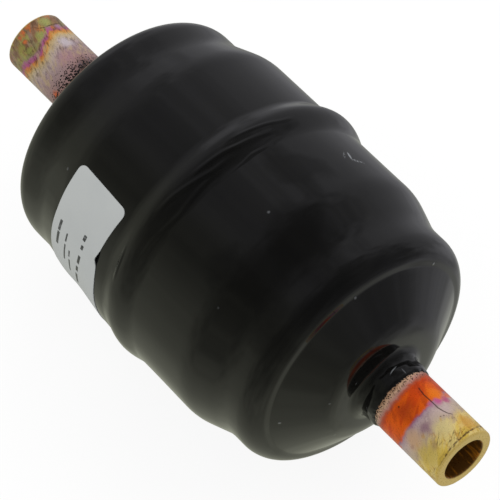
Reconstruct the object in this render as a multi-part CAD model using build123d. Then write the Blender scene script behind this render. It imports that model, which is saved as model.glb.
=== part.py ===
from build123d import *
from math import cos, radians, sin, tan
import os

os.makedirs("parts", exist_ok=True)

# A welded steel filter drier with solder sockets. The X axis is the flow axis:
# -X is the inlet end, +X the outlet end, and the origin is the middle of the length.
# Every turned section is drawn as (x, radius) and spun about X. Millimetres.

# Whole drier
overall_length = 141.2
half_length = overall_length / 2

# Drawn cups
wall = 1.6
barrel_radius = 31.75
band_radius = 28.9
step_middle_x = 26.1
step_angle = 19.0
step_bend_radius = 12.0
shoulder_x = 38.1
shoulder_radius = 5.4
cone_angle = 61.0
land_radius = 13.9
land_angle = 85.5
land_bend = 10.0
weld_gap = 0.5
groove_half_width = 1.8

# Girth weld bead
bead_half_width = 5.3
bead_height = 1.65
bead_toe = 0.05

# Solder socket fittings, for 9.53 mm tube
fitting_radius = 7.1
socket_radius = 4.8
socket_depth = 9.5
passage_radius = 3.9
lip_radius = 0.45
passage_chamfer = 0.5
shank_inside = 1.6
shank_clearance = 0.04

# Braze collar, measured from the corner of end land and tube
collar_on_land = 2.6
collar_hollow_length = 2.2
collar_length = 4.9
collar_thickness = 0.25
collar_toe = 0.05

# Label
label_thickness = 0.12
label_start_x = -22.0
label_end_x = -7.0
label_first_angle = 137.0
label_arc = 92.0
label_corner_radius = 1.8

# Stack inside, from the outlet end back to the inlet end
plate_thickness = 1.2
plate_hole_radius = 1.5
plate_hole_pitch = 5.0
plate_hole_rings = 5
support_plate_radius = 28.85
seat_gap = 0.02
screen_thickness = 0.4
screen_radius = 28.9
pad_thickness = 3.0
pad_radius = 29.1
core_radius = 26.0
core_length = 39.6
core_draft = 1.0
core_edge_chamfer = 1.5
core_bore_radius = 6.0
core_bore_depth = 30.0
seal_height = 4.0
seal_radius = 30.1
inlet_pad_thickness = 3.5
inlet_pad_radius = 28.0
pressure_plate_radius = 28.0

# Compression spring, with a flat closed turn at each end
spring_radius = 9.5
spring_wire_radius = 1.0
spring_turns = 3.0
spring_flat_arc = 225.0


def spin(section):
    """Spin a section of (x, radius) points about the flow axis."""
    return revolve(section, Axis.X)


def ring_section(corners):
    """Closed section from corners of (x, radius, rounding)."""
    points = [(x, r) for x, r, rounding in corners]
    roundings = [rounding for x, r, rounding in corners]
    return make_face(FilletPolyline(*points, radius=roundings, close=True))


def make_disc(start_x, thickness, radius):
    """Plain round disc whose first face lies at a station on the flow axis."""
    return Plane.YZ.offset(start_x) * extrude(Circle(radius), thickness)


def mirrored(piece):
    """The same piece at the inlet end."""
    return mirror(piece, Plane.YZ)


def cone_x(radius, inset=0.0):
    """Station where the end cone, set in from its outer face, has a radius."""
    rise = band_radius - inset / cos(radians(cone_angle)) - radius
    return shoulder_x + rise / tan(radians(cone_angle))


def land_x(radius, inset=0.0):
    """Station where the flatter end land, set in from its outer face, has a radius."""
    lean = radians(land_angle)
    return cone_x(land_radius) + (land_radius - radius) / tan(lean) - inset / sin(lean)


def land_corner(inset):
    """Corner of cone and land, set in from the outer face, with its rounding."""
    cone_slope = 1 / tan(radians(cone_angle))
    land_slope = 1 / tan(radians(land_angle))
    radius = (cone_x(0, inset) - land_x(0, inset)) / (cone_slope - land_slope)
    return (cone_x(radius, inset), radius, land_bend - inset)


def step_x(radius, inset=0.0):
    """Station where the step between barrel and band has a radius."""
    middle = (barrel_radius + band_radius) / 2
    rise = middle - inset / cos(radians(step_angle)) - radius
    return step_middle_x + rise / tan(radians(step_angle))


def skin_corners(inset):
    """Corners of the cup's skin after the mouth, set in from the outer face."""
    barrel = barrel_radius - inset
    band = band_radius - inset
    return [
        (step_x(barrel, inset), barrel, step_bend_radius - inset),
        (step_x(band, inset), band, step_bend_radius + inset),
        (cone_x(band, inset), band, shoulder_radius - inset),
        land_corner(inset),
    ]


def make_cup():
    hole = fitting_radius + shank_clearance
    outer = [(groove_half_width, barrel_radius, 0)] + skin_corners(0)
    inner = [(weld_gap, barrel_radius - wall, 0)] + skin_corners(wall)
    hole_edge = [(land_x(hole), hole, 0), (land_x(hole, wall), hole, 0)]
    return spin(ring_section(outer + hole_edge + inner[::-1]))


def make_girth_weld():
    """Bead on the barrel with a root that fills the groove between the cups."""
    toe = barrel_radius + bead_toe
    left = (-bead_half_width, toe)
    right = (bead_half_width, toe)
    along = (1, 0)
    crown = Spline(left, (0, barrel_radius + bead_height), right, tangents=[along] * 3)
    root = barrel_radius - wall
    under = Polyline(
        right,
        (bead_half_width, barrel_radius),
        (groove_half_width, barrel_radius),
        (weld_gap, root),
        (-weld_gap, root),
        (-groove_half_width, barrel_radius),
        (-bead_half_width, barrel_radius),
        left,
    )
    return spin(make_face([crown, under]))


def make_fitting():
    """Turned tube with a rounded lip, a solder socket and a stop for the pipe."""
    inside_end = land_x(fitting_radius, wall) - shank_inside
    stop_x = half_length - socket_depth
    corners = [
        (half_length, fitting_radius, lip_radius),
        (half_length, socket_radius, lip_radius),
        (stop_x, socket_radius, 0),
        (stop_x, passage_radius, 0),
        (inside_end + passage_chamfer, passage_radius, 0),
        (inside_end, passage_radius + passage_chamfer, 0),
        (inside_end, fitting_radius - passage_chamfer, 0),
        (inside_end + passage_chamfer, fitting_radius, 0),
    ]
    return spin(ring_section(corners))


def make_braze_fillet():
    """Hollow fillet of braze on the land that runs out in a sleeve along the tube."""
    base_x = land_x(fitting_radius)
    sleeve_radius = fitting_radius + collar_thickness
    land_end = Vector(land_x(fitting_radius + collar_on_land), fitting_radius + collar_on_land)
    land_toe = land_end + Vector(collar_toe, 0)
    sleeve_start = Vector(base_x + collar_hollow_length, sleeve_radius)
    hollow = Bezier(land_toe, Vector(base_x + collar_toe, sleeve_radius), sleeve_start)
    tube_end = Vector(base_x + collar_length, fitting_radius)
    tube_toe = tube_end + Vector(0, collar_toe)
    corner = Vector(base_x, fitting_radius)
    seats = Polyline(sleeve_start, tube_toe, tube_end, corner, land_end, land_toe)
    return spin(make_face([hollow, seats]))


def skin_solid(inset):
    """Everything inside the cup's skin, from the weld to the middle of the land."""
    tip = (land_x(0, inset), 0, 0)
    corners = [(0, 0, 0), (0, barrel_radius - inset, 0)] + skin_corners(inset) + [tip]
    return spin(ring_section(corners))


def make_label():
    """Thin film laid over the barrel and the start of the step of the inlet cup."""
    film = mirrored(skin_solid(-label_thickness) - skin_solid(0))
    width = label_end_x - label_start_x
    middle = ((label_start_x + label_end_x) / 2, barrel_radius)
    block = revolve(Pos(*middle) * Rectangle(width, 4 * wall), Axis.X, label_arc)
    radial_edges = block.edges().filter_by(GeomType.LINE).filter_by(Axis.X, reverse=True)
    block = fillet(radial_edges, label_corner_radius)
    return film & (Rot(label_first_angle, 0, 0) * block)


def make_plate(start_x, radius):
    """Flat stamped disc with rings of round holes, six more in each ring."""
    disc = Circle(radius) - Circle(plate_hole_radius)
    for ring in range(1, plate_hole_rings + 1):
        disc -= PolarLocations(ring * plate_hole_pitch, 6 * ring) * Circle(plate_hole_radius)
    return Plane.YZ.offset(start_x) * extrude(disc, plate_thickness)


def make_core(outlet_x):
    """Moulded block with draft, bevelled rims and a blind bore from the outlet face."""
    inlet_x = outlet_x - core_length
    lean = tan(radians(core_draft))
    small_radius = core_radius - core_length * lean
    bore_end_x = outlet_x - core_bore_depth
    bore_end_radius = core_bore_radius - core_bore_depth * lean
    corners = [
        (inlet_x, 0, 0),
        (inlet_x, small_radius - core_edge_chamfer, 0),
        (inlet_x + core_edge_chamfer, small_radius, 0),
        (outlet_x - core_edge_chamfer, core_radius, 0),
        (outlet_x, core_radius - core_edge_chamfer, 0),
        (outlet_x, core_bore_radius, 0),
        (bore_end_x, bore_end_radius, bore_end_radius / 2),
        (bore_end_x, 0, 0),
    ]
    return spin(ring_section(corners))


def make_seal_ring(outlet_x):
    """Fibre ring pressed between the core's outlet end and the barrel."""
    inlet_x = outlet_x - seal_height
    corners = [
        (inlet_x, core_radius, 0),
        (outlet_x, core_radius, 0),
        (outlet_x, seal_radius, 0),
        (inlet_x, seal_radius, 0),
    ]
    return spin(ring_section(corners))


def make_spring(plate_x):
    """Coil from the inlet land to the pressure plate, its end turns lying flat."""
    lean = radians(land_angle)
    seat_radius = spring_radius + spring_wire_radius * cos(lean)
    seat_x = land_x(seat_radius, wall) - spring_wire_radius * sin(lean)
    start_x = seat_gap - seat_x
    end_x = plate_x - spring_wire_radius - seat_gap
    length = end_x - start_x
    coil = Helix(length / spring_turns, length, spring_radius)
    path = Pos(start_x, 0, 0) * Rot(90, 0, 0) * Rot(0, 90, 0) * coil
    wire = Circle(spring_wire_radius)
    start_wire = Pos(start_x, spring_radius) * wire
    end_wire = Pos(end_x, spring_radius) * wire
    spring = sweep(start_wire, path, is_frenet=True)
    spring += revolve(start_wire, Axis.X.reverse(), spring_flat_arc)
    return spring + revolve(end_wire, Axis.X, spring_flat_arc)


support_plate_x = step_x(support_plate_radius, wall) - plate_thickness - seat_gap
screen_x = support_plate_x - screen_thickness
outlet_pad_x = screen_x - pad_thickness
core_inlet_x = outlet_pad_x - core_length
inlet_pad_x = core_inlet_x - inlet_pad_thickness
pressure_plate_x = inlet_pad_x - plate_thickness

outlet_shell = make_cup()
outlet_fitting = make_fitting()
outlet_braze_fillet = make_braze_fillet()

pieces = {
    "inlet_shell": mirrored(outlet_shell),
    "outlet_shell": outlet_shell,
    "girth_weld": make_girth_weld(),
    "inlet_fitting": mirrored(outlet_fitting),
    "outlet_fitting": outlet_fitting,
    "inlet_braze_fillet": mirrored(outlet_braze_fillet),
    "outlet_braze_fillet": outlet_braze_fillet,
    "rating_label": make_label(),
    "core_spring": make_spring(pressure_plate_x),
    "pressure_plate": make_plate(pressure_plate_x, pressure_plate_radius),
    "inlet_pad": make_disc(inlet_pad_x, inlet_pad_thickness, inlet_pad_radius),
    "desiccant_core": make_core(outlet_pad_x),
    "core_seal_ring": make_seal_ring(outlet_pad_x),
    "outlet_pad": make_disc(outlet_pad_x, pad_thickness, pad_radius),
    "outlet_screen": make_disc(screen_x, screen_thickness, screen_radius),
    "support_plate": make_plate(support_plate_x, support_plate_radius),
}

for name, piece in pieces.items():
    export_step(piece, f"parts/{name}.step")
    print(name, round(piece.volume), "cubic mm")
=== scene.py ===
from math import atan2, cos, degrees, hypot, pi, radians, sin, tan

import bmesh
import bpy
from mathutils import Matrix, Vector, noise


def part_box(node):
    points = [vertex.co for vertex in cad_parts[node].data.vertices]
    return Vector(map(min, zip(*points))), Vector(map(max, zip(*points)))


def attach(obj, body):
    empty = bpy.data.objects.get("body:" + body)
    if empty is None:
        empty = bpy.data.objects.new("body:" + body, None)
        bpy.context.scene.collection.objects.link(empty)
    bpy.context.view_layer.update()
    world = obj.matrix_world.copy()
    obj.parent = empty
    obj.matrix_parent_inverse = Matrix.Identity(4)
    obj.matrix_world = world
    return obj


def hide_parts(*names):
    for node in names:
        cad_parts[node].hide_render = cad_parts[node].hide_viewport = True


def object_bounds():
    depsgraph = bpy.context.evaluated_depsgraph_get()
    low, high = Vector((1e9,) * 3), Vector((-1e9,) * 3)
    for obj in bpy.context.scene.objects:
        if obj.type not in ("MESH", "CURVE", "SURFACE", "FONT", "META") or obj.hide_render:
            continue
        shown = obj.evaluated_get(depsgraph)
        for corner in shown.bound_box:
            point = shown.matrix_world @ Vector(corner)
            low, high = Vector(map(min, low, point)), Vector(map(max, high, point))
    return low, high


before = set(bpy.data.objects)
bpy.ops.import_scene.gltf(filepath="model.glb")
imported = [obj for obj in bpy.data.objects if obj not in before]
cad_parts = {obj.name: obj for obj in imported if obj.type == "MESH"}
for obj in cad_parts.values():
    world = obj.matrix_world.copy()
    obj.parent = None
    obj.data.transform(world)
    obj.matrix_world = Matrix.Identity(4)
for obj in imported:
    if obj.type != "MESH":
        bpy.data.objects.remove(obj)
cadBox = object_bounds()
scene = bpy.context.scene
mm = 0.001  # sizes here are in mm and degrees, the frame is in metres
print("frame loaded")


def meshFrom(name, bm):
    mesh = bpy.data.meshes.new(name)
    bm.to_mesh(mesh)
    bm.free()
    return mesh


def objectFrom(name, data):
    thing = bpy.data.objects.new(name, data)
    scene.collection.objects.link(thing)
    return thing


camera = {
    "stands": (0.294526, -0.236467, 0.489893),
    "right": (0.6312, 0.7756, 0),
    "down": (0.616, -0.5013, -0.6076),
    "lens": 214.56,
}

studio = {
    "lightLevel": 0.74,  # even light for colours
    "lampLevel": 0.3,  # what the softbox adds on a face turned to it
    "lampPlace": (-0.35, 0.75, 1.25),
    "lampSize": 1.1,
    "mirrorLevel": 0.147,  # what gloss sees all round
    # soft panels that only gloss sees, as (azimuth, elevation, inner and outer angle, level)
    "mirrorPanels": [
        (116.5, 7, 17, 62, 0.24),
        (-146.5, 30, 40, 71, 0.115),
        (-63, -56, 12, 115, 0.335),
        (55.5, -42, 0, 44, 0.147),
    ],
    # the dim room behind the camera, and a lighter part
    "mirrorShades": [(-47, 33, 0, 100, 0.76), (-49, -1, 29, 51, -0.44)],
    "mirrorTintAxis": (0, 0.8, 0.6),
    "mirrorCool": (1, 1, 1.06, 1),
    "mirrorWarm": (0.975, 1, 0.8, 1),
    "mirrorTintReach": (-0.4, 0.4),
    "mirrorWarp": (3, 0.42),  # scale and size of the wavy edges of what gloss sees
    "backdropLevel": 1,  # what the camera sees behind the piece
    "floorLevel": 1.03,
    "floorTone": (0.93, 0.93, 0.93, 1),
    "floorSize": 6,
    "shadowShare": 0.12,
}


def setCamera():
    data = bpy.data.cameras.new("camera")
    data.lens = camera["lens"]
    data.sensor_width = 36
    data.clip_start = 0.01
    view = objectFrom("camera", data)
    right = Vector(camera["right"]).normalized()
    up = -Vector(camera["down"]).normalized()
    back = right.cross(up).normalized()
    turn = Matrix((right, back.cross(right), back)).transposed()
    view.matrix_world = Matrix.Translation(camera["stands"]) @ turn.to_4x4()
    scene.camera = view


def tone(code):
    # hex code to the linear colour that a socket wants
    values = [int(code[i:i + 2], 16) / 255 for i in (0, 2, 4)]
    return [v / 12.92 if v <= 0.04045 else ((v + 0.055) / 1.055) ** 2.4 for v in values] + [1]


def put(kind, inputs, tree=None, **settings):
    # a node in the given tree, or in that of the sockets that feed it
    links = {name: value for name, value in inputs.items() if isinstance(value, bpy.types.NodeSocket)}
    tree = tree or next(iter(links.values())).id_data
    node = tree.nodes.new("ShaderNode" + kind)
    for name, value in settings.items():
        setattr(node, name, value)
    for name, value in inputs.items():
        if name in links:
            tree.links.new(value, node.inputs[name])
        else:
            node.inputs[name].default_value = tone(value) if isinstance(value, str) else value
    return node


def reckon(operation, first, second=0):
    return put("Math", {0: first, 1: second}, operation=operation).outputs[0]


def plus(first, second):
    return reckon("ADD", first, second)


def minus(first, second):
    return reckon("SUBTRACT", first, second)


def times(first, second):
    return reckon("MULTIPLY", first, second)


def vectorMath(operation, inputs):
    node = put("VectorMath", inputs, operation=operation)
    return node.outputs["Value" if operation in ("DOT_PRODUCT", "LENGTH", "DISTANCE") else "Vector"]


def rescale(value, low, high, outLow=0, outHigh=1, kind="SMOOTHSTEP"):
    sockets = {"Value": value, "From Min": low, "From Max": high, "To Min": outLow, "To Max": outHigh}
    return put("MapRange", sockets, interpolation_type=kind).outputs[0]


def window(value, rise, fall):
    # 1 between the two slopes, each from where it is 0 to where it is 1
    return times(rescale(value, *rise), rescale(value, *fall))


def blendValues(share, under, over):
    return put("Mix", {0: share, 2: under, 3: over}).outputs[0]


def blendTones(share, under, over):
    return put("Mix", {0: share, 6: under, 7: over}, data_type="RGBA").outputs[2]


def grainNode(place, scale, detail=3, roughness=0.5, distortion=0):
    sockets = {"Vector": place, "Scale": scale, "Detail": detail, "Roughness": roughness}
    return put("TexNoise", {**sockets, "Distortion": distortion})


def grain(*settings):
    return grainNode(*settings).outputs["Fac"]


def cells(place, scale):
    return put("TexVoronoi", {"Vector": place, "Scale": scale}).outputs


def jittered(place, noiseColour, size):
    # place shaken by up to half of size each way
    shake = vectorMath("SUBTRACT", {0: noiseColour, 1: (0.5, 0.5, 0.5)})
    shake = vectorMath("SCALE", {0: shake, "Scale": size})
    return vectorMath("ADD", {0: place, 1: shake})


def ramp(value, low, high, stops):
    # stops are (where, tone), in the units of value
    node = put("ValToRGB", {0: rescale(value, low, high, kind="LINEAR")})
    elements = node.color_ramp.elements
    while len(elements) < len(stops):
        elements.new(0.5)
    for element, (where, colour) in zip(elements, stops):
        element.position = (where - low) / (high - low)
        element.color = colour
    return node.outputs[0]


def lineValue(value, points, base, span):
    # follows a line of (where, number) points, its numbers between base and base + span
    stops = [(where, [(number - base) / span] * 3 + [1]) for where, number in points]
    shade = ramp(value, points[0][0], points[-1][0], stops)
    return plus(times(shade, span), base)


def mapped(place, kind="POINT", **sockets):
    return put("Mapping", {"Vector": place, **sockets}, vector_type=kind).outputs[0]


def slanted(place, shift, slant, grains):
    # place turned in the plane of a tube's top, with grains per mm each way
    sizes = [1 / g for g in grains]
    return mapped(place, "TEXTURE", Location=shift, Rotation=(0, 0, radians(slant)), Scale=sizes)


def newMaterial(name, **sockets):
    material = bpy.data.materials.new(name)
    material.use_nodes = True
    tree = material.node_tree
    shader = tree.nodes["Principled BSDF"]
    for socket, value in sockets.items():
        shader.inputs[socket.replace("_", " ")].default_value = value
    place = put("TexCoord", {}, tree).outputs["Object"]
    return material, shader, place


def wire(shader, **sockets):
    for socket, value in sockets.items():
        shader.id_data.links.new(value, shader.inputs[socket.replace("_", " ")])


def raised(height, distance):
    return put("Bump", {"Height": height, "Distance": distance}).outputs[0]


def skyLobe(direction, azimuth, elevation, inner, outer, strength):
    a, e = radians(azimuth), radians(elevation)
    aim = (cos(e) * cos(a), cos(e) * sin(a), sin(e))
    facing = vectorMath("DOT_PRODUCT", {0: direction, 1: aim})
    return rescale(facing, cos(radians(outer)), cos(radians(inner)), 0, strength)


def buildWorld():
    world = bpy.data.worlds.new("studio")
    scene.world = world
    world.use_nodes = True
    world.cycles.sampling_method = "NONE"
    tree = world.node_tree
    tree.nodes.clear()
    straight = put("TexCoord", {}, tree).outputs["Generated"]
    scale, size = studio["mirrorWarp"]
    direction = jittered(straight, grainNode(straight, scale).outputs["Color"], size * 2)
    mirrored = studio["mirrorLevel"]
    for panel in studio["mirrorPanels"]:
        mirrored = plus(mirrored, skyLobe(direction, *panel))
    for shade in studio["mirrorShades"]:
        mirrored = times(mirrored, minus(1, skyLobe(direction, *shade)))
    cool = vectorMath("DOT_PRODUCT", {0: straight, 1: studio["mirrorTintAxis"]})
    cool = rescale(cool, *studio["mirrorTintReach"])
    tint = blendTones(cool, studio["mirrorWarm"], studio["mirrorCool"])
    rays = put("LightPath", {}, tree).outputs
    tint = blendTones(rays["Is Glossy Ray"], (1, 1, 1, 1), tint)
    level = blendValues(rays["Is Glossy Ray"], studio["lightLevel"], mirrored)
    toCamera = reckon("MAXIMUM", rays["Is Camera Ray"], rays["Is Transmission Ray"])
    level = blendValues(toCamera, level, studio["backdropLevel"])
    background = put("Background", {"Color": tint, "Strength": level})
    put("OutputWorld", {"Surface": background.outputs[0]})


def buildFloor():
    bm = bmesh.new()
    bmesh.ops.create_grid(bm, x_segments=1, y_segments=1, size=studio["floorSize"] / 2)
    bmesh.ops.translate(bm, vec=(0, 0, cadBox[0][2]), verts=bm.verts)
    floor = objectFrom("floor", meshFrom("floor", bm))
    material = bpy.data.materials.new("paleFloor")
    material.use_nodes = True
    material.cycles.emission_sampling = "NONE"
    tree = material.node_tree
    tree.nodes.clear()
    toCamera = put("LightPath", {}, tree).outputs["Is Camera Ray"]
    level = blendValues(toCamera, studio["lightLevel"], studio["floorLevel"])
    glow = put("Emission", {"Color": (1, 1, 1, 1), "Strength": level})
    paper = put("BsdfDiffuse", {"Color": studio["floorTone"]}, tree)
    share = times(toCamera, studio["shadowShare"])
    mixed = put("MixShader", {0: share, 1: glow.outputs[0], 2: paper.outputs[0]})
    put("OutputMaterial", {"Surface": mixed.outputs[0]})
    floor.data.materials.append(material)
    floor.visible_glossy = False  # gloss sees the floor as the lower half of the world


def buildLamp():
    place = Vector(studio["lampPlace"])
    light = bpy.data.lights.new("softbox", "AREA")
    light.size = studio["lampSize"]
    light.energy = studio["lampLevel"] * pi ** 2 * place.length_squared
    lamp = objectFrom("softbox", light)
    lamp.matrix_world = Matrix.Translation(place) @ place.to_track_quat("Z", "Y").to_matrix().to_4x4()
    lamp.visible_glossy = False
    lamp.visible_camera = False


setCamera()
buildWorld()
buildFloor()
buildLamp()
print("studio ready")


mergeGap = 0.0005 * mm


def faceOut(bm):
    bmesh.ops.recalc_face_normals(bm, faces=bm.faces)


def turnAround(bm):
    # mirrored in x, for the pieces at the inlet end
    bmesh.ops.scale(bm, vec=(-1, 1, 1), verts=bm.verts)
    faceOut(bm)


def clipped(value):
    return max(0, min(1, value))


def hump(place):
    # 1 at 0, falling smoothly to 0 at 1 and -1
    return 0.5 + 0.5 * cos(pi * min(1, abs(place)))


def roundedLine(corners, arcStep=4):
    # corners are (x, radius, rounding); each rounding becomes an arc
    line = []
    for i, (x, radius, rounding) in enumerate(corners):
        here = Vector((x, radius))
        if rounding == 0:
            line.append(here)
            continue
        back = (Vector(corners[i - 1][:2]) - here).normalized()
        ahead = (Vector(corners[(i + 1) % len(corners)][:2]) - here).normalized()
        between = back.angle(ahead)
        centre = here + (back + ahead).normalized() * rounding / sin(between / 2)
        spoke = here + back * rounding / tan(between / 2) - centre
        turn = (pi - between) * (1 if back.cross(ahead) < 0 else -1)
        steps = max(2, round(abs(degrees(turn)) / arcStep))
        for k in range(steps + 1):
            line.append(centre + Matrix.Rotation(turn * k / steps, 2) @ spoke)
    return line


def spinLine(line, steps, longest, closed=True):
    # a section of (x, radius) in mm, its long edges cut up, spun about the flow axis
    bm = bmesh.new()
    verts = [bm.verts.new((x * mm, 0, radius * mm)) for x, radius in line]
    ends = verts[1:] + verts[:1] if closed else verts[1:]
    edges = [bm.edges.new(pair) for pair in zip(verts, ends)]
    for edge in edges:
        cuts = int(edge.calc_length() / mm / longest)
        if cuts:
            bmesh.ops.subdivide_edges(bm, edges=[edge], cuts=cuts)
    geometry = list(bm.verts) + list(bm.edges)
    bmesh.ops.spin(bm, geom=geometry, cent=(0, 0, 0), axis=(1, 0, 0), dvec=(0, 0, 0),
                   angle=2 * pi, steps=steps, use_merge=True, use_duplicate=False)
    bmesh.ops.remove_doubles(bm, verts=bm.verts, dist=mergeGap)
    faceOut(bm)
    return bm


def reshape(bm, rule):
    # rule turns (x, radius, angle) into a new (x, radius), in mm and degrees
    for vert in bm.verts:
        x, y, z = vert.co / mm
        radius, angle = hypot(y, z), atan2(z, y)
        newX, newRadius = rule(x, radius, degrees(angle) % 360)
        vert.co = Vector((newX, newRadius * cos(angle), newRadius * sin(angle))) * mm


def around(x, radius, angle):
    return Vector((x, radius * cos(radians(angle)), radius * sin(radians(angle))))


def ripple(x, radius, angle, size, shift=0):
    return noise.noise(around(x, radius, angle) / size + Vector((shift, shift, shift)))


def waveSum(waves, x, radius, angle):
    # waves are (height, size, shift)
    return sum(height * ripple(x, radius, angle, size, shift) for height, size, shift in waves)


def finishPiece(name, bm, materials, nodes, sharp=50):
    mesh = meshFrom(name, bm)
    for material in materials:
        mesh.materials.append(material)
    mesh.shade_smooth()
    mesh.set_sharp_from_angle(angle=radians(sharp))
    piece = objectFrom(name, mesh)
    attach(piece, "root")
    if nodes:
        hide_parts(*nodes)
    return piece


enamel = {
    "tone": (0.0035, 0.0035, 0.0038, 1),
    "warmTone": (0.006, 0.0058, 0.005, 1),
    "cloudScale": 70,  # noise scales are per metre
    "gloss": 0.5,
    "roughness": (0.03, 0.08),
    "peelScale": 260,
    "peelDepth": 0.000012,
    "nibScale": 170,
    "nibChance": 0.3,
    "nibReach": (0.02, 0.08),
    "nibHeight": 7,
    "nibShare": 0.3,
    "dustAndGlintTone": "8d9094",
    "fleckScale": 2400,
    "raggedScale": 120,
    "raggedSize": 0.012,  # metres that the edges of the painted dark reflection spots wander
    # (start, end as x, radius, angle; half width; share) where the gloss is turned down: painted shade
    # standing for dark reflections on the cups and on the land round the outlet fitting
    "darkReflectionSpots": [
        ((8, 31.5, 85), (15, 31.5, 75), 6, 0.38),
        ((22, 31.2, 100.5), (33, 29.3, 99), 7, 0.42),
        ((19, 31.5, 124), (29.5, 29.6, 125), 6.5, 0.38),
        ((18, 31.5, 83.6), (24.2, 31, 88.8), 4.5, 0.28),
        ((35, 28.9, 134), (39.5, 27.5, 137), 5, 0.28),
        ((46.6, 10.6, 155), (46.3, 13.4, 122), 2.4, 0.5),
        ((46.3, 13.8, 120), (46.4, 13.2, 92), 2.4, 0.5),
    ],
    # (start, end as x, radius, angle; half width; share; flecked) of pale rub marks on the barrel, and
    # of painted highlights on the collar folds in place of glints
    "scuffsAndGlints": [
        ((12.4, 31.75, 54.7), (14.6, 31.75, 56.3), 0.33, 0.85, False),
        ((14.7, 31.75, 56.4), (16, 31.75, 51.8), 0.5, 0.75, True),
        ((12.2, 31.75, 56.5), (14.2, 31.75, 59.6), 0.35, 0.4, True),
        # the last three lie on the outlet collar: painted highlights standing for glints on its folds
        ((49.8, 7.6, 103), (49, 7.6, 84), 0.16, 0.55, False),
        ((50, 7.6, 81), (51.5, 7.6, 81), 0.16, 0.3, False),
        ((49.6, 7.6, 168), (50.9, 7.6, 176), 0.18, 0.5, True),
    ],
}


def smear(place, start, end, halfWidth):
    # 1 inside a thin oval on the skin from start to end, fading to 0 at its edge
    first, last = around(*start) * mm, around(*end) * mm
    middle, along = (first + last) / 2, (last - first).normalized()
    side = Vector((0, middle.y, middle.z)).cross(along).normalized()
    turn = Matrix((along, side, along.cross(side))).transposed().to_euler()
    size = ((last - first).length / 2 + halfWidth * mm, halfWidth * mm, max(1, halfWidth) * mm)
    oval = mapped(place, "TEXTURE", Location=middle, Rotation=turn, Scale=size)
    return rescale(vectorMath("LENGTH", {0: oval}), 0.5, 1, 1, 0)


def enamelMaterial():
    material, shader, place = newMaterial("blackEnamel", IOR=1.5)
    clouds = grain(place, enamel["cloudScale"])
    peel = grain(place, enamel["peelScale"], 2, 0.4)
    nibCells = cells(place, enamel["nibScale"])
    chance = put("SeparateColor", {0: nibCells["Color"]}).outputs[0]
    picked = reckon("GREATER_THAN", chance, 1 - enamel["nibChance"])
    nibs = times(rescale(nibCells["Distance"], *enamel["nibReach"], 1, 0), picked)
    rough = rescale(clouds, 0.3, 0.75, *enamel["roughness"])
    height = plus(peel, times(nibs, enamel["nibHeight"]))
    colour = blendTones(clouds, enamel["tone"], enamel["warmTone"])
    flecks = rescale(grain(place, enamel["fleckScale"], 2, 0.6), 0.45, 0.6)
    # pale scratch marks on the barrel and painted glint highlights on the collar, both in the pale
    # dust tone
    for start, end, halfWidth, share, flecked in enamel["scuffsAndGlints"]:
        scuffAndGlint = times(smear(place, start, end, halfWidth), share)
        if flecked:
            scuffAndGlint = times(scuffAndGlint, flecks)
        colour = blendTones(scuffAndGlint, colour, enamel["dustAndGlintTone"])
    colour = blendTones(times(nibs, enamel["nibShare"]), colour, enamel["dustAndGlintTone"])
    gloss = enamel["gloss"]
    wander = grainNode(place, enamel["raggedScale"]).outputs["Color"]
    ragged = jittered(place, wander, enamel["raggedSize"])
    # turning the gloss down here paints dark reflections into these spots
    for start, end, halfWidth, share in enamel["darkReflectionSpots"]:
        reflectionDimmed = times(smear(ragged, start, end, halfWidth), share)
        gloss = times(gloss, minus(1, reflectionDimmed))
    wire(shader, Base_Color=colour, Roughness=rough, Specular_IOR_Level=gloss,
         Normal=raised(height, enamel["peelDepth"]))
    return material


blackEnamel = enamelMaterial()


cup = {
    "wall": 1.6,
    "barrelRadius": 31.75,
    "bandRadius": 28.9,
    "stepMiddle": 26.1,
    "stepAngle": 19,
    "stepBend": 12,
    "shoulderX": 38.1,
    "shoulderBend": 5.4,
    "coneAngle": 61,
    "creaseRadii": (25.75, 24.35),  # narrow face below the shoulder, almost square to the axis
    "creaseAngle": 80,
    "creaseBends": (2.8, 1.5),
    "landRadius": 13.9,  # the cone bends here to a flatter land round the fitting
    "landAngle": 85.5,
    "landBend": 10,
    "holeRadius": 7.14,
    "mouth": 0.5,
    "groove": 1.8,
    "spinSteps": 256,
    "longestEdge": 0.9,
}

flat = {  # the inlet cup is flattened beside the label
    "depth": 1.6,
    "x": -20.2,
    "reach": (13, 16),
    "angle": 205,
    "spread": 60,
}

cupWaves = {
    "waves": ((0.055, 17, 3.1), (0.008, 7, 9.4)),  # (height, size, shift)
    "outletGain": 2.2,
    "gainReach": 8,  # mm from the weld to the full gain
}


def slopeX(anchorX, anchorRadius, angle, radius, inset):
    # x at a radius of a slope through the anchor, moved in by inset
    lean = radians(angle)
    return anchorX + (anchorRadius - inset / cos(lean) - radius) / tan(lean)


def coneX(radius, inset=0):
    return slopeX(cup["shoulderX"], cup["bandRadius"], cup["coneAngle"], radius, inset)


def stepX(radius, inset=0):
    middle = (cup["barrelRadius"] + cup["bandRadius"]) / 2
    return slopeX(cup["stepMiddle"], middle, cup["stepAngle"], radius, inset)


def landX(radius, inset=0):
    return slopeX(coneX(cup["landRadius"]), cup["landRadius"], cup["landAngle"], radius, inset)


def landCorner(inset=0):
    slopes = 1 / tan(radians(cup["coneAngle"])) - 1 / tan(radians(cup["landAngle"]))
    radius = (coneX(0, inset) - landX(0, inset)) / slopes
    return (coneX(radius, inset), radius, cup["landBend"] - inset)


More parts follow.
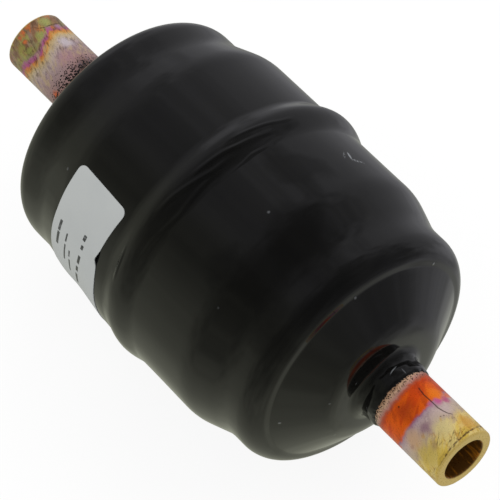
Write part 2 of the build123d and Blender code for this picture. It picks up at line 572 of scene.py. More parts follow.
def outerCorners(creased):
    barrel, band, bend = cup["barrelRadius"], cup["bandRadius"], cup["stepBend"]
    first, last = cup["creaseRadii"]
    creaseX = coneX(first) + (first - last) / tan(radians(cup["creaseAngle"]))
    crease = [(coneX(first), first, cup["creaseBends"][0]), (creaseX, last, cup["creaseBends"][1])]
    return [
        (cup["groove"], barrel, 0),
        (stepX(barrel), barrel, bend),
        (stepX(band), band, bend),
        (coneX(band), band, cup["shoulderBend"]),
        *(crease if creased else []),
        landCorner(),
        (landX(cup["holeRadius"]), cup["holeRadius"], 0),
    ]


def innerCorners():
    wall = cup["wall"]
    barrel, band, bend = cup["barrelRadius"] - wall, cup["bandRadius"] - wall, cup["stepBend"]
    return [
        (landX(cup["holeRadius"], wall), cup["holeRadius"], 0),
        landCorner(wall),
        (coneX(band, wall), band, cup["shoulderBend"] - wall),
        (stepX(band, wall), band, bend + wall),
        (stepX(barrel, wall), barrel, bend - wall),
        (cup["mouth"], barrel, 0),
    ]


cupLine = roundedLine(outerCorners(False))


def followLine(points, where):
    # value of a line of (where, value) points
    for (here, low), (there, high) in zip(points, points[1:]):
        if here <= where <= there:
            return low + (high - low) * (where - here) / (there - here)
    return None


def flatDepth(x, angle):
    before, after = flat["reach"]
    along = (x - flat["x"]) / (before if x < flat["x"] else after)
    across = ((angle - flat["angle"] + 180) % 360 - 180) / flat["spread"]
    return flat["depth"] * hump(along) * hump(across)


def cupWave(x, radius, angle):
    gain = 1 + (cupWaves["outletGain"] - 1) * clipped(x / cupWaves["gainReach"])
    return gain * waveSum(cupWaves["waves"], x, radius, angle)


def cupSkin(x, angle):
    # radius of the inlet cup's outer face with its flat and waves
    radius = followLine(cupLine, abs(x)) or cup["barrelRadius"]
    return radius - flatDepth(x, angle) + cupWave(x, radius, angle)


def makeCup(name, node, side):
    line = roundedLine(outerCorners(side > 0) + innerCorners())
    bm = spinLine(line, cup["spinSteps"], cup["longestEdge"])
    if side < 0:
        turnAround(bm)
    reshape(bm, lambda x, radius, angle: (x, radius - flatDepth(x, angle) + cupWave(x, radius, angle)))
    return finishPiece(name, bm, [blackEnamel], [node])


makeCup("outletCup", "outlet_shell", 1)
makeCup("inletCup", "inlet_shell", -1)
print("cups made")


bead = {
    "halfWidth": 5.3,
    "sink": 0.1,  # how deep its skirt goes into the cups
    "height": 1.28,
    "lean": 0.38,  # the bead stands higher on one side than on the other
    "highAngle": 30,
    "crownX": -0.5,
    "spinSteps": 300,
    "waves": ((0.07, 9, 5.5), (0.02, 4, 2.3)),
    "waveSqueeze": 2.2,  # how much shorter the first ones are along the axis
    "ridges": [  # (height, half width, [(angle, x) of its crest]), where the weld overlaps itself
        (0.16, 0.3, [(66, 1.15), (72, 1.1), (78, 0.5), (84, 0.1), (90, -0.35), (95, -0.8)]),
        (0.26, 0.38, [(76, 2.4), (84, 2), (92, 1.6), (98, 0.95), (104, 0.7), (112, 0.3)]),
        (0.21, 0.4, [(95, 2.7), (105, 2.55), (113, 1.6), (122, 0.5), (130, 0.1)]),
        (0.28, 0.34, [(78, 4.7), (85, 4.6), (90, 4.5), (94, 5), (101, 5.35), (108, 5.3)]),
        (0.15, 0.42, [(102, 3.2), (110, 3.35), (119, 3.7), (124, 4), (139, 2.7), (150, 2.3)]),
        (0.2, 0.32, [(146, -1.9), (151, -1.6), (157, -1.5), (162, -1.4)]),
    ],
    "finestEdge": 0.13,
}


def beadHeight(x, angle):
    crown = bead["crownX"]
    side = bead["halfWidth"] + (crown if x < crown else -crown)
    along = min(1, abs(x - crown) / side)
    high = bead["height"] + bead["lean"] * cos(radians(angle - bead["highAngle"]))
    return high * hump(along), along


def ridgeHeight(x, angle):
    total = 0
    for height, halfWidth, points in bead["ridges"]:
        crest = followLine(points, angle)
        if crest is None or abs(x - crest) >= halfWidth * 2:
            continue
        first, last = points[0][0], points[-1][0]
        ends = sin(pi * (angle - first) / (last - first)) ** 0.7
        total += height * ends * hump((x - crest) / halfWidth / 2)
    return total


def makeBead():
    half, groove, mouth, barrel = bead["halfWidth"], cup["groove"], cup["mouth"], cup["barrelRadius"]
    under, root = barrel - bead["sink"], barrel - cup["wall"]
    line = [(-half, under), (-half, barrel), (half, barrel), (half, under)]
    line += [(groove, under), (mouth, root), (-mouth, root), (-groove, under)]
    bm = spinLine(line, bead["spinSteps"], bead["finestEdge"])
    big, small = bead["waves"]

    def swell(x, radius, angle):
        if radius < barrel - 0.01:
            return x, radius
        high, along = beadHeight(x, angle)
        wave = waveSum([big], x * bead["waveSqueeze"], radius, angle)
        wave += waveSum([small], x, radius, angle) + ridgeHeight(x, angle)
        return x, radius + high + wave * (1 - along ** 4) + cupWave(x, radius, angle)

    reshape(bm, swell)
    return finishPiece("girthBead", bm, [blackEnamel], ["girth_weld"])


makeBead()
print("bead made")


fitting = {
    "radius": 7.1,
    "socketRadius": 4.8,
    "socketDepth": 9.5,
    "passageRadius": 3.9,
    "lip": 0.45,
    "chamfer": 0.5,
    "halfLength": 70.6,
    "insideEnd": 43.87,
    "spinSteps": 160,
    "longestEdge": 0.5,
    "waves": ((0.022, 4), (0.008, 1.2)),  # (height, size)
    "dingFrom": 69.4,
    "ding": (0.05, 1.6),
    "turnedUp": 26,  # degrees, so that the top of the tube in view lies on Z in the patterns
}

collar = {
    "tubeEnd": 51.9,
    "onLand": 2.6,
    "toe": 0.02,
    "spinSteps": 220,
    "reach": 2.2,
    "sleeve": 0.28,
    "edge": 0.05,
    "longestEdge": 0.35,
    "foldSize": 3.4,
    "foldHeight": 0.34,
}


def collarLine():
    # a hollow from the land to the tube, then a thin sleeve of enamel
    radius, sleeve = fitting["radius"], collar["sleeve"]
    baseX = landX(radius)
    onLand = Vector((landX(radius + collar["onLand"]), radius + collar["onLand"]))
    onTube = Vector((baseX + collar["reach"], radius + sleeve))
    control = Vector((baseX + 0.2, radius + sleeve))
    line = []
    for k in range(17):
        t = k / 16
        line.append(onLand * (1 - t) ** 2 + control * 2 * t * (1 - t) + onTube * t ** 2)
    line[0] += Vector((collar["toe"], 0))
    end, edge = collar["tubeEnd"], collar["edge"]
    line += [(end - 0.3, radius + sleeve * 0.8), (end, radius + edge)]
    return line + [(end, radius - edge), (baseX, radius - edge), onLand]


def makeCollar(name, node, side, seed):
    bm = spinLine(collarLine(), collar["spinSteps"], collar["longestEdge"])
    startX, endX = landX(fitting["radius"]), collar["tubeEnd"]

    def fold(x, radius, angle):
        # folds are strongest beside the tube and die out on the cone
        near = clipped((x - startX) / (endX - startX))
        if radius < fitting["radius"] - 0.03 or near == 0:
            return x, radius
        slant = x * 1.5 + 0.02 * angle
        folds = ((1, collar["foldSize"], seed), (0.3, 1.5, seed))
        ridge = 0.5 + 1.1 * waveSum(folds, slant, radius, angle)
        edge = waveSum(((0.35, 1.3, seed + 4), (0.2, 0.5, seed)), x, radius, angle)
        shift = edge * max(0, (near - 0.85) / 0.15)
        height = collar["foldHeight"] * ridge * min(1, near * 2) * (1 - max(0, near - 0.8) * 3.5)
        return x + shift, radius + height

    reshape(bm, fold)
    if side < 0:
        turnAround(bm)
    return finishPiece(name, bm, [blackEnamel], [node], 70)


makeCollar("outletCollar", "outlet_braze_fillet", 1, 1.7)
makeCollar("inletCollar", "inlet_braze_fillet", -1, 6.2)
print("collars made")


# x is in mm from the middle, and shares go from 0 to 1
outletTint = {
    "name": "outletCopper",
    "side": 1,
    "drift": [],
    "flame": (130, 1.9),  # side the heat came from, and how far the bands bow there, in mm
    "wobble": 0.55,
    "paintEnd": 52,
    "bands": [  # heat tints
        (51.6, "6d5140"), (52.3, "b08a6c"), (53.1, "cfa98c"), (53.9, "c08c80"), (54.5, "b9583c"),
        (55.2, "cc4406"), (57.6, "d84a02"), (59.7, "c44406"), (60.3, "a0708a"), (60.9, "b59aa2"),
        (62, "c6aea8"), (64.6, "c8b296"), (66.6, "e2c470"), (68.6, "e4c45a"), (70, "d0b04c"),
    ],
    "spots": [  # (x, angle, inner and outer reach, tone, share)
        (58.4, 66, 0.6, 3, "f47c10", 0.95), (56.2, 60, 0.2, 1.8, "e8600c", 0.8),
        (57.4, 124, 0.4, 3.2, "a2370e", 0.65), (60.3, 74, 0.3, 1.4, "c65893", 0.9),
        (60.5, 58, 0.3, 1.5, "b9557f", 0.9), (60.1, 90, 0.2, 1.1, "b56a90", 0.8),
        (62.6, 76, 0.4, 2.4, "cdb6b2", 0.8), (63.2, 122, 0.3, 2.1, "94707e", 0.8),
        (66.9, 135, 0.2, 1.2, "9a7676", 0.7), (62.6, 164, 0.2, 0.8, "8a6670", 0.7),
        (65.6, 101, 0.5, 3, "dcc98c", 0.85), (67.2, 60, 0.5, 3.2, "d29f48", 0.85),
        (66.8, 152, 1, 4.2, "c8ae54", 0.7), (55.75, 128.5, 0.05, 0.28, "30120a", 1),
        (53.4, 110, 0.05, 0.22, "2a1a16", 1), (63.6, 87, 0.05, 0.2, "4a3634", 1),
        (63.4, 92, 0.05, 0.18, "4a3634", 1), (62.4, 152, 0.6, 3.2, "cfa57c", 0.75),
    ],
    "crack": [  # (x, angle)
        (55.5, 83), (57.4, 85.3), (58.9, 84.8), (60.3, 84.3),
        (61.5, 84.5), (62.6, 82), (63.5, 79.4), (64.6, 72),
    ],
    "rings": [[(26, 68.6), (73, 69.4), (101, 69.7), (121, 69.9), (145, 70.3)]],
    "speckle": (51.9, 54.3, 0.55),  # (from, to, size of the dots at the start) of the overspray
    "streaks": [  # (from, to, grains per mm, slant, cut, tone, share) of smears in the scale
        (64.5, 71, 0.45, -50, 0.44, "e8d28c", 0.7), (63, 71, 0.75, -20, 0.54, "b98430", 0.65),
        (60.5, 66.5, 0.6, -40, 0.5, "a58c8a", 0.5), (54.8, 60.3, 0.3, -60, 0.44, "ee6604", 0.7),
        (54, 60, 0.45, -30, 0.52, "9c2c06", 0.4), (51, 54, 3, -20, 0.5, "7a5844", 0.7),
    ],
    # (from, to, grains per mm, slant, share, tone)
    "scratches": [(64.5, 71, 0.22, -55, 0.8, "5c461f"), (66, 71, 0.3, -80, 0.7, "5e3a1c")],
}

inletTint = {
    "name": "inletCopper",
    "side": -1,
    "drift": [  # (angle, mm that the bands lie nearer to the tube's end)
        (20, 0), (43, -0.4), (63, -0.3), (73, 0.9), (86, 1.1), (97, 0), (111, -0.9),
        (124, -1.8), (134, -1.9), (144, -1.3), (158, -0.6), (175, -0.1), (200, 0),
    ],
    "flame": (123, 1.8),
    "wobble": 0.7,
    "paintEnd": 51.6,
    "bands": [
        (51.6, "54413a"), (54, "a2807c"), (57, "ab8f8e"), (59, "b59c9c"), (60.5, "c6b2a8"),
        (61.6, "c9b598"), (62.2, "d2b480"), (63, "d99a4c"), (63.7, "cf7c46"), (64.2, "b5588c"),
        (65, "a8708a"), (65.7, "98925e"), (67.2, "9c8e66"), (68.6, "a08070"), (70, "8f7a5c"),
    ],
    "spots": [
        (69.7, 108, 0.2, 1, "dd7434", 0.9), (69.5, 124, 0.2, 1, "d9703a", 0.9),
        (67.7, 129, 0.2, 0.9, "d8743c", 0.9), (69.3, 134, 0.1, 0.8, "cf6a3c", 0.9),
        (66.1, 102, 0.3, 1.4, "9fa25c", 0.9), (65.2, 135, 0.2, 1.1, "9a9a52", 0.9),
        (67.3, 145, 0.3, 1.7, "a09a50", 0.8), (68.6, 76, 0.5, 2.2, "a5a862", 0.8),
        (66.2, 60, 0.2, 1.2, "a97fa6", 0.8), (64.9, 58, 0.2, 1, "d98c3c", 0.8),
        (61, 77, 0.4, 2.3, "d2c6cc", 0.85), (57.5, 100, 0.4, 3, "b48690", 0.6),
        (53.5, 162, 0.3, 1.5, "d2622c", 0.9), (68.2, 158, 0.3, 1.6, "7c5c4c", 0.7),
    ],
    "crack": [],
    "rings": [[(46, 67), (71, 67), (87, 67.1), (96, 67.7), (102, 68.9)]],
    "speckle": (51, 58.2, 0.8),
    "streaks": [
        (63.6, 65.2, 0.5, -30, 0.5, "a08a52", 0.7), (65.2, 71, 0.5, -20, 0.45, "8f6244", 0.7),
        (65.5, 71, 0.6, -30, 0.52, "cc7438", 0.75), (64.5, 71, 0.6, -10, 0.52, "a9a45a", 0.8),
        (60, 71, 0.9, -20, 0.54, "5a4430", 0.7), (56, 63.5, 0.7, -25, 0.48, "c4ac84", 0.6),
        (53, 62, 0.9, -15, 0.53, "857078", 0.6),
    ],
    "scratches": [(59, 71, 0.3, -20, 0.75, "43322a"), (56, 71, 0.45, -35, 0.5, "6b5446")],
}


def makeTube(name, node, tint, seed):
    f = fitting
    end, inside, outer = f["halfLength"], f["insideEnd"], f["radius"]
    stop, lip, chamfer = end - f["socketDepth"], f["lip"], f["chamfer"]
    socket, passage = f["socketRadius"], f["passageRadius"]
    line = roundedLine([
        (end, outer, lip),
        (end, socket, lip),
        (stop, socket, 0),
        (stop, passage, 0),
        (inside + chamfer, passage, 0),
        (inside, passage + chamfer, 0),
        (inside, outer - chamfer, 0),
        (inside + chamfer, outer, 0),
    ], 15)
    bm = spinLine(line, f["spinSteps"], f["longestEdge"])
    waves = [(height, size, seed) for height, size in f["waves"]]
    depth, breadth = f["ding"]

    def handled(x, radius, angle):
        # slight waves and soft dings at the sawn and rolled end
        endness = max(0, (x - f["dingFrom"]) / (end - f["dingFrom"]))
        ding = depth * endness * abs(ripple(x, radius, angle, breadth, seed + 3))
        return x - ding, radius + waveSum(waves, x, radius, angle)

    reshape(bm, handled)
    if tint["side"] < 0:
        turnAround(bm)
    return finishPiece(name, bm, [tubeMaterial(tint)], [node], 60)


copper = {
    "gain": 1.1,
    "patches": (0.42, 4, 0.55),  # noise scale per mm, detail and roughness
    "flecks": (2.6, 3, 0.6),
    "sway": (2.6, 0.9),  # mm that the bands wander with the patches and with the flecks
    "bandReach": (46, 71),
    "crackTone": "3a1c14",
    "ringTone": "4c3020",
    "brassTones": ("c6a248", "e2ca80"),
    "boreToneAndGlints": ("5e3c14", "b8741c"),
    "lipX": (70.1, 70.35),
    "faceRadius": (6.6, 6.3),
    "boreRadius": (5.15, 4.86),
    "boreGrains": (0.25, 1.6, 1.6),
    "paint": (0.006, 0.006, 0.0065, 1),
    "paintRoughness": 0.12,
    "dotScale": 2.1,
    "metallic": 0.28,
    "roughness": (0.24, 0.42),
    "rubSlant": -35,
    "rubGrains": (0.5, 6, 0.5),
    "bumpDepth": 0.000007,
}


def tintTone(code):
    return [min(1, value * copper["gain"]) for value in tone(code)[:3]] + [1]


def tubeSockets(tint, place):
    # what the layers of a tube's look share, in mm and degrees
    turned = (-radians(fitting["turnedUp"]), 0, 0)
    scaled = mapped(place, Rotation=turned, Scale=(1000, 1000, 1000))
    x, across, upward = put("SeparateXYZ", {0: scaled}).outputs
    angle = times(reckon("ARCTAN2", upward, across), degrees(1))
    patches = grainNode(scaled, *copper["patches"]).outputs
    fine = grain(scaled, *copper["flecks"])
    broad, small = copper["sway"]
    sway = times(minus(patches["Fac"], 0.5), broad * tint["wobble"])
    return {
        "scaled": scaled,
        "along": reckon("ABSOLUTE", x),
        "angle": plus(angle, fitting["turnedUp"]),
        "patches": patches["Fac"],
        "ragged": jittered(scaled, patches["Color"], 2.2),
        "fine": fine,
        "sway": plus(sway, times(minus(fine, 0.5), small)),
    }


def heatColour(tint, at):
    # the heat bands bow on the side that the flame came from
    side, depth = tint["flame"]
    aim = around(0, 1 / fitting["radius"], side - fitting["turnedUp"])
    facing = vectorMath("DOT_PRODUCT", {0: at["scaled"], 1: aim})
    bow = times(minus(facing, 1), tint["side"] * depth)
    if tint["drift"]:
        bow = plus(bow, lineValue(at["angle"], tint["drift"], -5, 10))
    heat = plus(minus(at["along"], bow), at["sway"])
    bands = [(where, tintTone(code)) for where, code in tint["bands"]]
    return ramp(heat, *copper["bandReach"], bands)


def addStreaks(tint, at, colour):
    # smears along the rubbing marks, then scratches
    swayed = plus(at["along"], times(at["sway"], 0.6))
    for k, (low, high, scale, slant, cut, code, share) in enumerate(tint["streaks"]):
        grains = (scale * 0.45, scale * 1.6, scale)
        turned = slanted(at["scaled"], (7.3 * k, 3.1 * k, 5.7 * k), slant, grains)
        smeared = rescale(grain(turned, 1, 3, 0.55), cut, cut + 0.12, 0, share)
        within = window(swayed, (low - 0.4, low + 0.6), (high, high - 0.5))
        colour = blendTones(times(smeared, within), colour, tintTone(code))
    broken = rescale(at["patches"], 0.42, 0.58)
    for k, (low, high, scale, slant, share, code) in enumerate(tint["scratches"]):
        grains = (scale * 0.35, scale * 5, scale * 2)
        turned = slanted(at["scaled"], (2.9 * k, 8.3 * k, 4.1 * k), slant, grains)
        off = reckon("ABSOLUTE", minus(grain(turned, 1, 2, 0.6), 0.5))
        cutLine = times(rescale(off, 0.004, 0.02, share, 0), broken)
        within = window(at["along"], (low - 0.4, low + 0.6), (high, high - 0.3))
        colour = blendTones(times(cutLine, within), colour, code)
    return colour


def addSpots(tint, at, colour):
    # stains and blooms with ragged edges, and small round specks
    for x, where, inner, outer, code, share in tint["spots"]:
        centre = around(tint["side"] * x, fitting["radius"], where - fitting["turnedUp"])
        source = at["ragged" if outer > 0.5 else "scaled"]
        gap = vectorMath("DISTANCE", {0: source, 1: centre})
        fade = rescale(gap, inner, outer, share, 0)
        colour = blendTones(fade, colour, tintTone(code))
    return colour


def addFineLines(tint, at, colour):
    # hairline crack in the scale, and fine dark rings
    along, angle = at["along"], at["angle"]
    if tint["crack"]:
        low, high = tint["crack"][0][0], tint["crack"][-1][0]
        track = lineValue(along, tint["crack"], 0, 200)
        off = reckon("ABSOLUTE", minus(track, angle))
        within = window(along, (low - 0.2, low + 0.2), (high, high - 0.5))
        line = times(rescale(off, 0.5, 1.5, 0.9, 0), within)
        colour = blendTones(line, colour, copper["crackTone"])
    broken = rescale(at["fine"], 0.4, 0.5)
    for points in tint["rings"]:
        low, high = points[0][0], points[-1][0]
        off = minus(lineValue(angle, points, 0, 100), along)
        off = reckon("ABSOLUTE", plus(off, times(at["sway"], 0.12)))
        within = window(angle, (low - 8, low + 8), (high + 8, high - 8))
        line = times(rescale(off, 0.06, 0.28, 0.85, 0), times(within, broken))
        colour = blendTones(line, colour, copper["ringTone"])
    return colour


def addEnd(at, colour):
    # brass lip and end face, and the bore; paint keeps off the face
    radius = vectorMath("MULTIPLY", {0: at["scaled"], 1: (0, 1, 1)})
    radius = vectorMath("LENGTH", {0: radius})
    lip = rescale(at["along"], *copper["lipX"])
    face = reckon("MAXIMUM", lip, rescale(radius, *copper["faceRadius"]))
    colour = blendTones(face, colour, blendTones(at["fine"], *copper["brassTones"]))
    # the bore is dark brown with lighter amber streaks along it, painted highlights in place of glints
    grains = mapped(at["scaled"], Scale=copper["boreGrains"])
    glints = rescale(grain(grains, 1), 0.5, 0.72)
    inside = blendTones(glints, *copper["boreToneAndGlints"])
    return blendTones(rescale(radius, *copper["boreRadius"]), colour, inside), face


def paintShare(tint, at, face):
    # sprayed enamel edge with overspray dots
    first, last, density = tint["speckle"]
    dots = cells(at["scaled"], copper["dotScale"])
    swayed = plus(at["along"], times(at["sway"], 0.5))
    reach = rescale(swayed, first, last, density, 0, "LINEAR")
    reach = times(reach, rescale(at["fine"], 0.35, 0.6, 0.5, 1.25))
    dotted = reckon("LESS_THAN", dots["Distance"], minus(reach, 0.03))
    edge = plus(at["along"], times(at["sway"], 0.3))
    solid = reckon("LESS_THAN", edge, tint["paintEnd"])
    return times(reckon("MAXIMUM", dotted, solid), minus(1, face))


def tubeMaterial(tint):
    material, shader, place = newMaterial(tint["name"], IOR=1.5, Specular_IOR_Level=0.3)
    at = tubeSockets(tint, place)
    colour = heatColour(tint, at)
    colour = addStreaks(tint, at, colour)
    colour = addSpots(tint, at, colour)
    colour = addFineLines(tint, at, colour)
    colour, face = addEnd(at, colour)
    painted = paintShare(tint, at, face)
    colour = blendTones(painted, colour, copper["paint"])
    metallic = times(minus(1, painted), copper["metallic"])
    rough = rescale(at["fine"], 0.3, 0.7, *copper["roughness"])
    rough = blendValues(painted, rough, copper["paintRoughness"])
    grains = slanted(at["scaled"], (0, 0, 0), copper["rubSlant"], copper["rubGrains"])
    height = plus(at["fine"], times(grain(grains, 1, 2), 0.5))
    height = plus(height, times(painted, 1.2))
    wire(shader, Base_Color=colour, Roughness=rough, Metallic=metallic,
         Normal=raised(height, copper["bumpDepth"]))
    return material


makeTube("outletTube", "outlet_fitting", outletTint, 2.7)
makeTube("inletTube", "inlet_fitting", inletTint, 8.1)
print("tubes made")


label = {
    "outline": [  # (x, angle)
        (-21.6, 135.5), (-6.1, 137.3), (-7.2, 150), (-8.15, 161.4), (-7.75, 168), (-7.7, 174),
        (-8.3, 190), (-9.2, 229), (-24.8, 229), (-24.5, 200), (-24.1, 182), (-22.4, 158),
    ],
    "round": [0, 1, 7, 8],  # corners of the outline that are rounded
    "cornerRadius": 1.7,
    "gap": 0.03,
    "thickness": 0.12,
    "cell": 0.8,
    "liftAt": (-8.15, 161.4),
    "liftHeight": 0.55,
    "liftSize": 2.4,
    "paperTones": ("c1c5c5", "ced1cf"),
    "inkTones": ("3e4042", "7f8284"),
    "inkGap": 0.012,
    "inkThickness": 0.01,
    "barRound": 0.12,
    "barCell": 0.6,
    # (x at start, start angle, length, height, lean) of plain bars in place of print
    "bars": [
        (-20.5, 160.5, 3.2, 0.75, -0.12), (-20.9, 167, 4.2, 0.75, -0.12),
        (-18, 164, 2.6, 0.45, -0.12), (-18.4, 170.4, 5.6, 0.45, -0.12),
        (-16.9, 171.5, 2.2, 0.45, -0.1), (-17.1, 177.2, 4.6, 0.45, -0.1),
        (-13, 157.2, 1.6, 0.85, -0.15), (-13.1, 162.3, 1.3, 0.75, -0.15),
        (-13.5, 168.4, 2.7, 0.75, -0.15), (-14.2, 175.4, 1.9, 0.75, -0.15),
        (-14.8, 181, 4.4, 0.75, -0.15),
    ],
}

degreeLength = cup["barrelRadius"] * pi / 180  # mm along the barrel for one degree


def paperMaterial():
    material, shader, place = newMaterial("labelFilm", IOR=1.45)
    clouds = grain(place, 120)
    tooth = grain(place, 2600, 3, 0.6)
    colour = blendTones(clouds, *label["paperTones"])
    wire(shader, Base_Color=colour, Roughness=rescale(clouds, 0.3, 0.7, 0.38, 0.52),
         Normal=raised(tooth, 0.000006))
    return material


def inkMaterial():
    material, shader, place = newMaterial("labelInk")
    worn = grain(place, 1500, 4, 0.6)
    colour = blendTones(rescale(worn, 0.5, 0.72), *label["inkTones"])
    wire(shader, Base_Color=colour, Roughness=rescale(worn, 0.3, 0.7, 0.3, 0.5))
    return material


def wrapOnCup(bm, gap):
    # flat (x, length round the barrel) in mm goes on to the inlet cup
    liftX, liftAngle = label["liftAt"]
    for vert in bm.verts:
        x, angle = vert.co.x, vert.co.y / degreeLength
        away = hypot(x - liftX, (angle - liftAngle) * degreeLength) / label["liftSize"]
        lift = label["liftHeight"] * hump(away)
        vert.co = around(x, cupSkin(x, angle) + gap + lift, angle) * mm


def cutGrid(bm, cell):
    # fine cells, so that the sheet can follow the barrel
    for axis in (0, 1):
        low = min(vert.co[axis] for vert in bm.verts)
        high = max(vert.co[axis] for vert in bm.verts)
        count = max(1, int((high - low) / cell))
        for k in range(1, count):
            point, normal = Vector((0, 0, 0)), Vector((0, 0, 0))
            point[axis] = low + (high - low) * k / count
            normal[axis] = 1
            parts = bm.verts[:] + bm.edges[:] + bm.faces[:]
            bmesh.ops.bisect_plane(bm, geom=parts, plane_co=point, plane_no=normal)


def roundCorners(bm, verts, radius, segments):
    bmesh.ops.bevel(bm, geom=verts, offset=radius, offset_type="OFFSET", segments=segments,
                    profile=0.5, affect="VERTICES", material=-1)


def makeLabel():
    bm = bmesh.new()
    verts = [bm.verts.new((x, angle * degreeLength, 0)) for x, angle in label["outline"]]
    bm.faces.new(verts)
    roundCorners(bm, [verts[i] for i in label["round"]], label["cornerRadius"], 8)
    cutGrid(bm, label["cell"])
    wrapOnCup(bm, label["gap"])
    faceOut(bm)
    onSide = Vector((-0.015, -0.03, 0))
    middle = min(bm.faces, key=lambda face: (face.calc_center_median() - onSide).length)
    if middle.normal.y > 0:
        bmesh.ops.reverse_faces(bm, faces=bm.faces)
    bmesh.ops.solidify(bm, geom=bm.faces[:], thickness=-label["thickness"] * mm)
    faceOut(bm)
    return finishPiece("labelFilm", bm, [paperMaterial()], ["rating_label"])


def makeBars():
    bm = bmesh.new()
    for x, angle, length, height, lean in label["bars"]:
        start = angle * degreeLength
        corners = ((0, 0), (height, 0), (height, length), (0, length))
        bm.faces.new([bm.verts.new((x + dx + lean * dy, start + dy, 0)) for dx, dy in corners])
    roundCorners(bm, bm.verts[:], label["barRound"], 3)
    cutGrid(bm, label["barCell"])
    wrapOnCup(bm, label["gap"] + label["thickness"] + label["inkGap"])
    faceOut(bm)
    for face in bm.faces:
        centre = face.calc_center_median()
        if face.normal.y * centre.y + face.normal.z * centre.z < 0:
            face.normal_flip()
    bmesh.ops.solidify(bm, geom=bm.faces[:], thickness=label["inkThickness"] * mm)
    return finishPiece("labelBars", bm, [inkMaterial()], [])


makeLabel()
makeBars()
print("label made")


insideLooks = {  # (dark tone, light tone, noise scale, roughness)
    "padFibre": ("b9b2a0", "e4dfd2", 1200, (0.8, 0.95)),
    "sealFibre": ("8c8474", "b5ad9b", 1400, (0.8, 0.95)),
    "coreBlock": ("cfc5b2", "a3967e", 900, (0.8, 0.95)),
    "meshSteel": ("9a9da0", "c8cbcd", 1500, (0.3, 0.45)),
    "plateSteel": ("8c8f92", "b4b7ba", 300, (0.3, 0.5)),
    "springSteel": ("5c5e62", "8a8d92", 500, (0.25, 0.4)),
}


def metalMaterial(name):
    dark, light, scale, roughness = insideLooks[name]
    material, shader, place = newMaterial(name, Metallic=1)
    clouds = grain(place, scale, 4, 0.6)
    wire(shader, Base_Color=blendTones(clouds, dark, light), Normal=raised(clouds, 0.00001),
         Roughness=rescale(clouds, 0.3, 0.7, *roughness))
    return material


def fibreMaterial(name):
    dark, light, scale, roughness = insideLooks[name]
    material, shader, place = newMaterial(name)
    fuzz = grain(mapped(place, Scale=(1, 0.3, 1)), scale, 5, 0.7, 1.5)
    wire(shader, Base_Color=blendTones(fuzz, dark, light), Normal=raised(fuzz, 0.0002),
         Roughness=rescale(fuzz, 0.2, 0.8, *roughness))
    return material


def coreMaterial():
    # beads bonded into a block, darker in the gaps between them
    light, dark, scale, roughness = insideLooks["coreBlock"]
    material, shader, place = newMaterial("coreBlock")
    beads = cells(place, scale)["Distance"]
    clouds = grain(place, 90, 4)
    colour = blendTones(beads, light, dark)
    colour = blendTones(times(clouds, 0.4), colour, "8e8069")
    wire(shader, Base_Color=colour, Roughness=rescale(clouds, 0.2, 0.8, *roughness),
         Normal=raised(minus(1, beads), 0.0003))
    return material


def dressNode(node, material):
    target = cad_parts[node]
    target.data.materials.clear()
    target.data.materials.append(material)


felt = {
    "edgeBend": 0.7,
    "fuzz": 0.16,
    "lump": 3,
    "spinSteps": 120,
    "longestEdge": 1.1,
}


def spinFelt(corners, closed):
    return spinLine(roundedLine(corners, 20), felt["spinSteps"], felt["longestEdge"], closed)


def nodeSection(node):
    # first and last x and the outer radius, in mm
    low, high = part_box(node)
    return low[0] / mm, high[0] / mm, high[2] / mm


def makeFeltDisc(name, node, material, seed):
    start, end, radius = nodeSection(node)
    bend = felt["edgeBend"]
    corners = [(start, 0, 0), (start, radius, bend), (end, radius, bend), (end, 0, 0)]
    bm = spinFelt(corners, False)
    middle = (start + end) / 2

    def pressed(x, r, angle):
        sink = felt["fuzz"] * abs(ripple(0, r, angle, felt["lump"], seed))
        return x + (sink if x < middle else -sink), r - sink * r / radius

    reshape(bm, pressed)
    return finishPiece(name, bm, [material], [node], 80)


def makeSealRing():
    start, end, radius = nodeSection("core_seal_ring")
    inner = nodeSection("desiccant_core")[2]
    bend = felt["edgeBend"]
    corners = [(start, inner, bend), (end, inner, bend), (end, radius, bend), (start, radius, bend)]
    bm = spinFelt(corners, True)

    def pressed(x, r, angle):
        # only the outside is uneven, since the core fills the hole
        sink = felt["fuzz"] * abs(ripple(x, r, angle, felt["lump"], 4.4))
        return x, r - (sink if r > inner + 1 else 0)

    reshape(bm, pressed)
    material = fibreMaterial("sealFibre")
    return finishPiece("sealRing", bm, [material], ["core_seal_ring"], 80)


woven = {
    "pitch": 1.3,
    "wireRadius": 0.095,
    "rimRadius": 0.19,
    "rimSteps": 120,
}


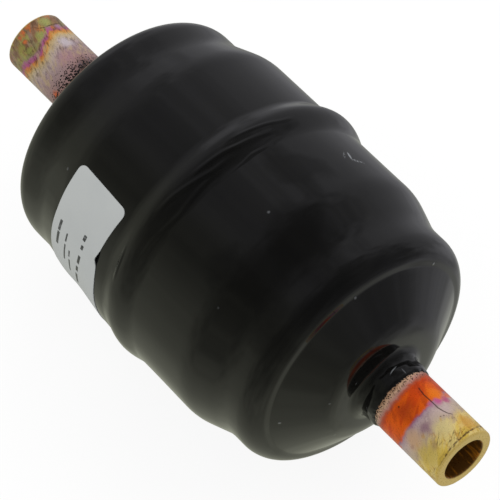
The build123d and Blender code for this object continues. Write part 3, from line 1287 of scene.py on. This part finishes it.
def makeScreen():
    start, end, radius = nodeSection("outlet_screen")
    middle, pitch, wave = (start + end) / 2, woven["pitch"], woven["wireRadius"]
    data = bpy.data.curves.new("screenWires", "CURVE")
    data.dimensions = "3D"
    data.bevel_depth = woven["wireRadius"] * mm
    data.bevel_resolution = 0
    data.use_fill_caps = True
    count = int((radius - woven["rimRadius"]) / pitch)
    for across in (0, 1):
        for row in range(-count, count + 1):
            reach = (radius ** 2 - (row * pitch) ** 2) ** 0.5 - woven["rimRadius"]
            steps = int(reach / pitch)
            stations = [-reach] + [k * pitch for k in range(-steps, steps + 1)] + [reach]
            spline = data.splines.new("POLY")
            spline.points.add(len(stations) - 1)
            for point, station in zip(spline.points, stations):
                turn = 1 if (round(station / pitch) + row + across) % 2 else -1
                place = (station, row * pitch) if across else (row * pitch, station)
                point.co = ((middle + turn * wave) * mm, place[0] * mm, place[1] * mm, 1)
    wires = bpy.data.objects.new("screenWires", data)
    bm = bmesh.new()
    bm.from_mesh(bpy.data.meshes.new_from_object(wires))
    bpy.data.objects.remove(wires)
    rim = woven["rimRadius"]
    edge = radius - rim
    sides = ((-rim, -rim), (rim, -rim), (rim, rim), (-rim, rim))
    corners = [(middle + dx, edge + dr, rim) for dx, dr in sides]
    ring = meshFrom("screenRim", spinLine(roundedLine(corners, 45), woven["rimSteps"], 1))
    bm.from_mesh(ring)
    bpy.data.meshes.remove(ring)
    bmesh.ops.remove_doubles(bm, verts=bm.verts, dist=mergeGap)
    faceOut(bm)
    return finishPiece("wovenScreen", bm, [metalMaterial("meshSteel")], ["outlet_screen"])


padFibre = fibreMaterial("padFibre")
makeFeltDisc("inletPad", "inlet_pad", padFibre, 1.9)
makeFeltDisc("outletPad", "outlet_pad", padFibre, 7.3)
makeSealRing()
makeScreen()
plateSteel = metalMaterial("plateSteel")
dressNode("core_spring", metalMaterial("springSteel"))
dressNode("pressure_plate", plateSteel)
dressNode("support_plate", plateSteel)
dressNode("desiccant_core", coreMaterial())
print("inside dressed")

scene.view_settings.view_transform = "Standard"
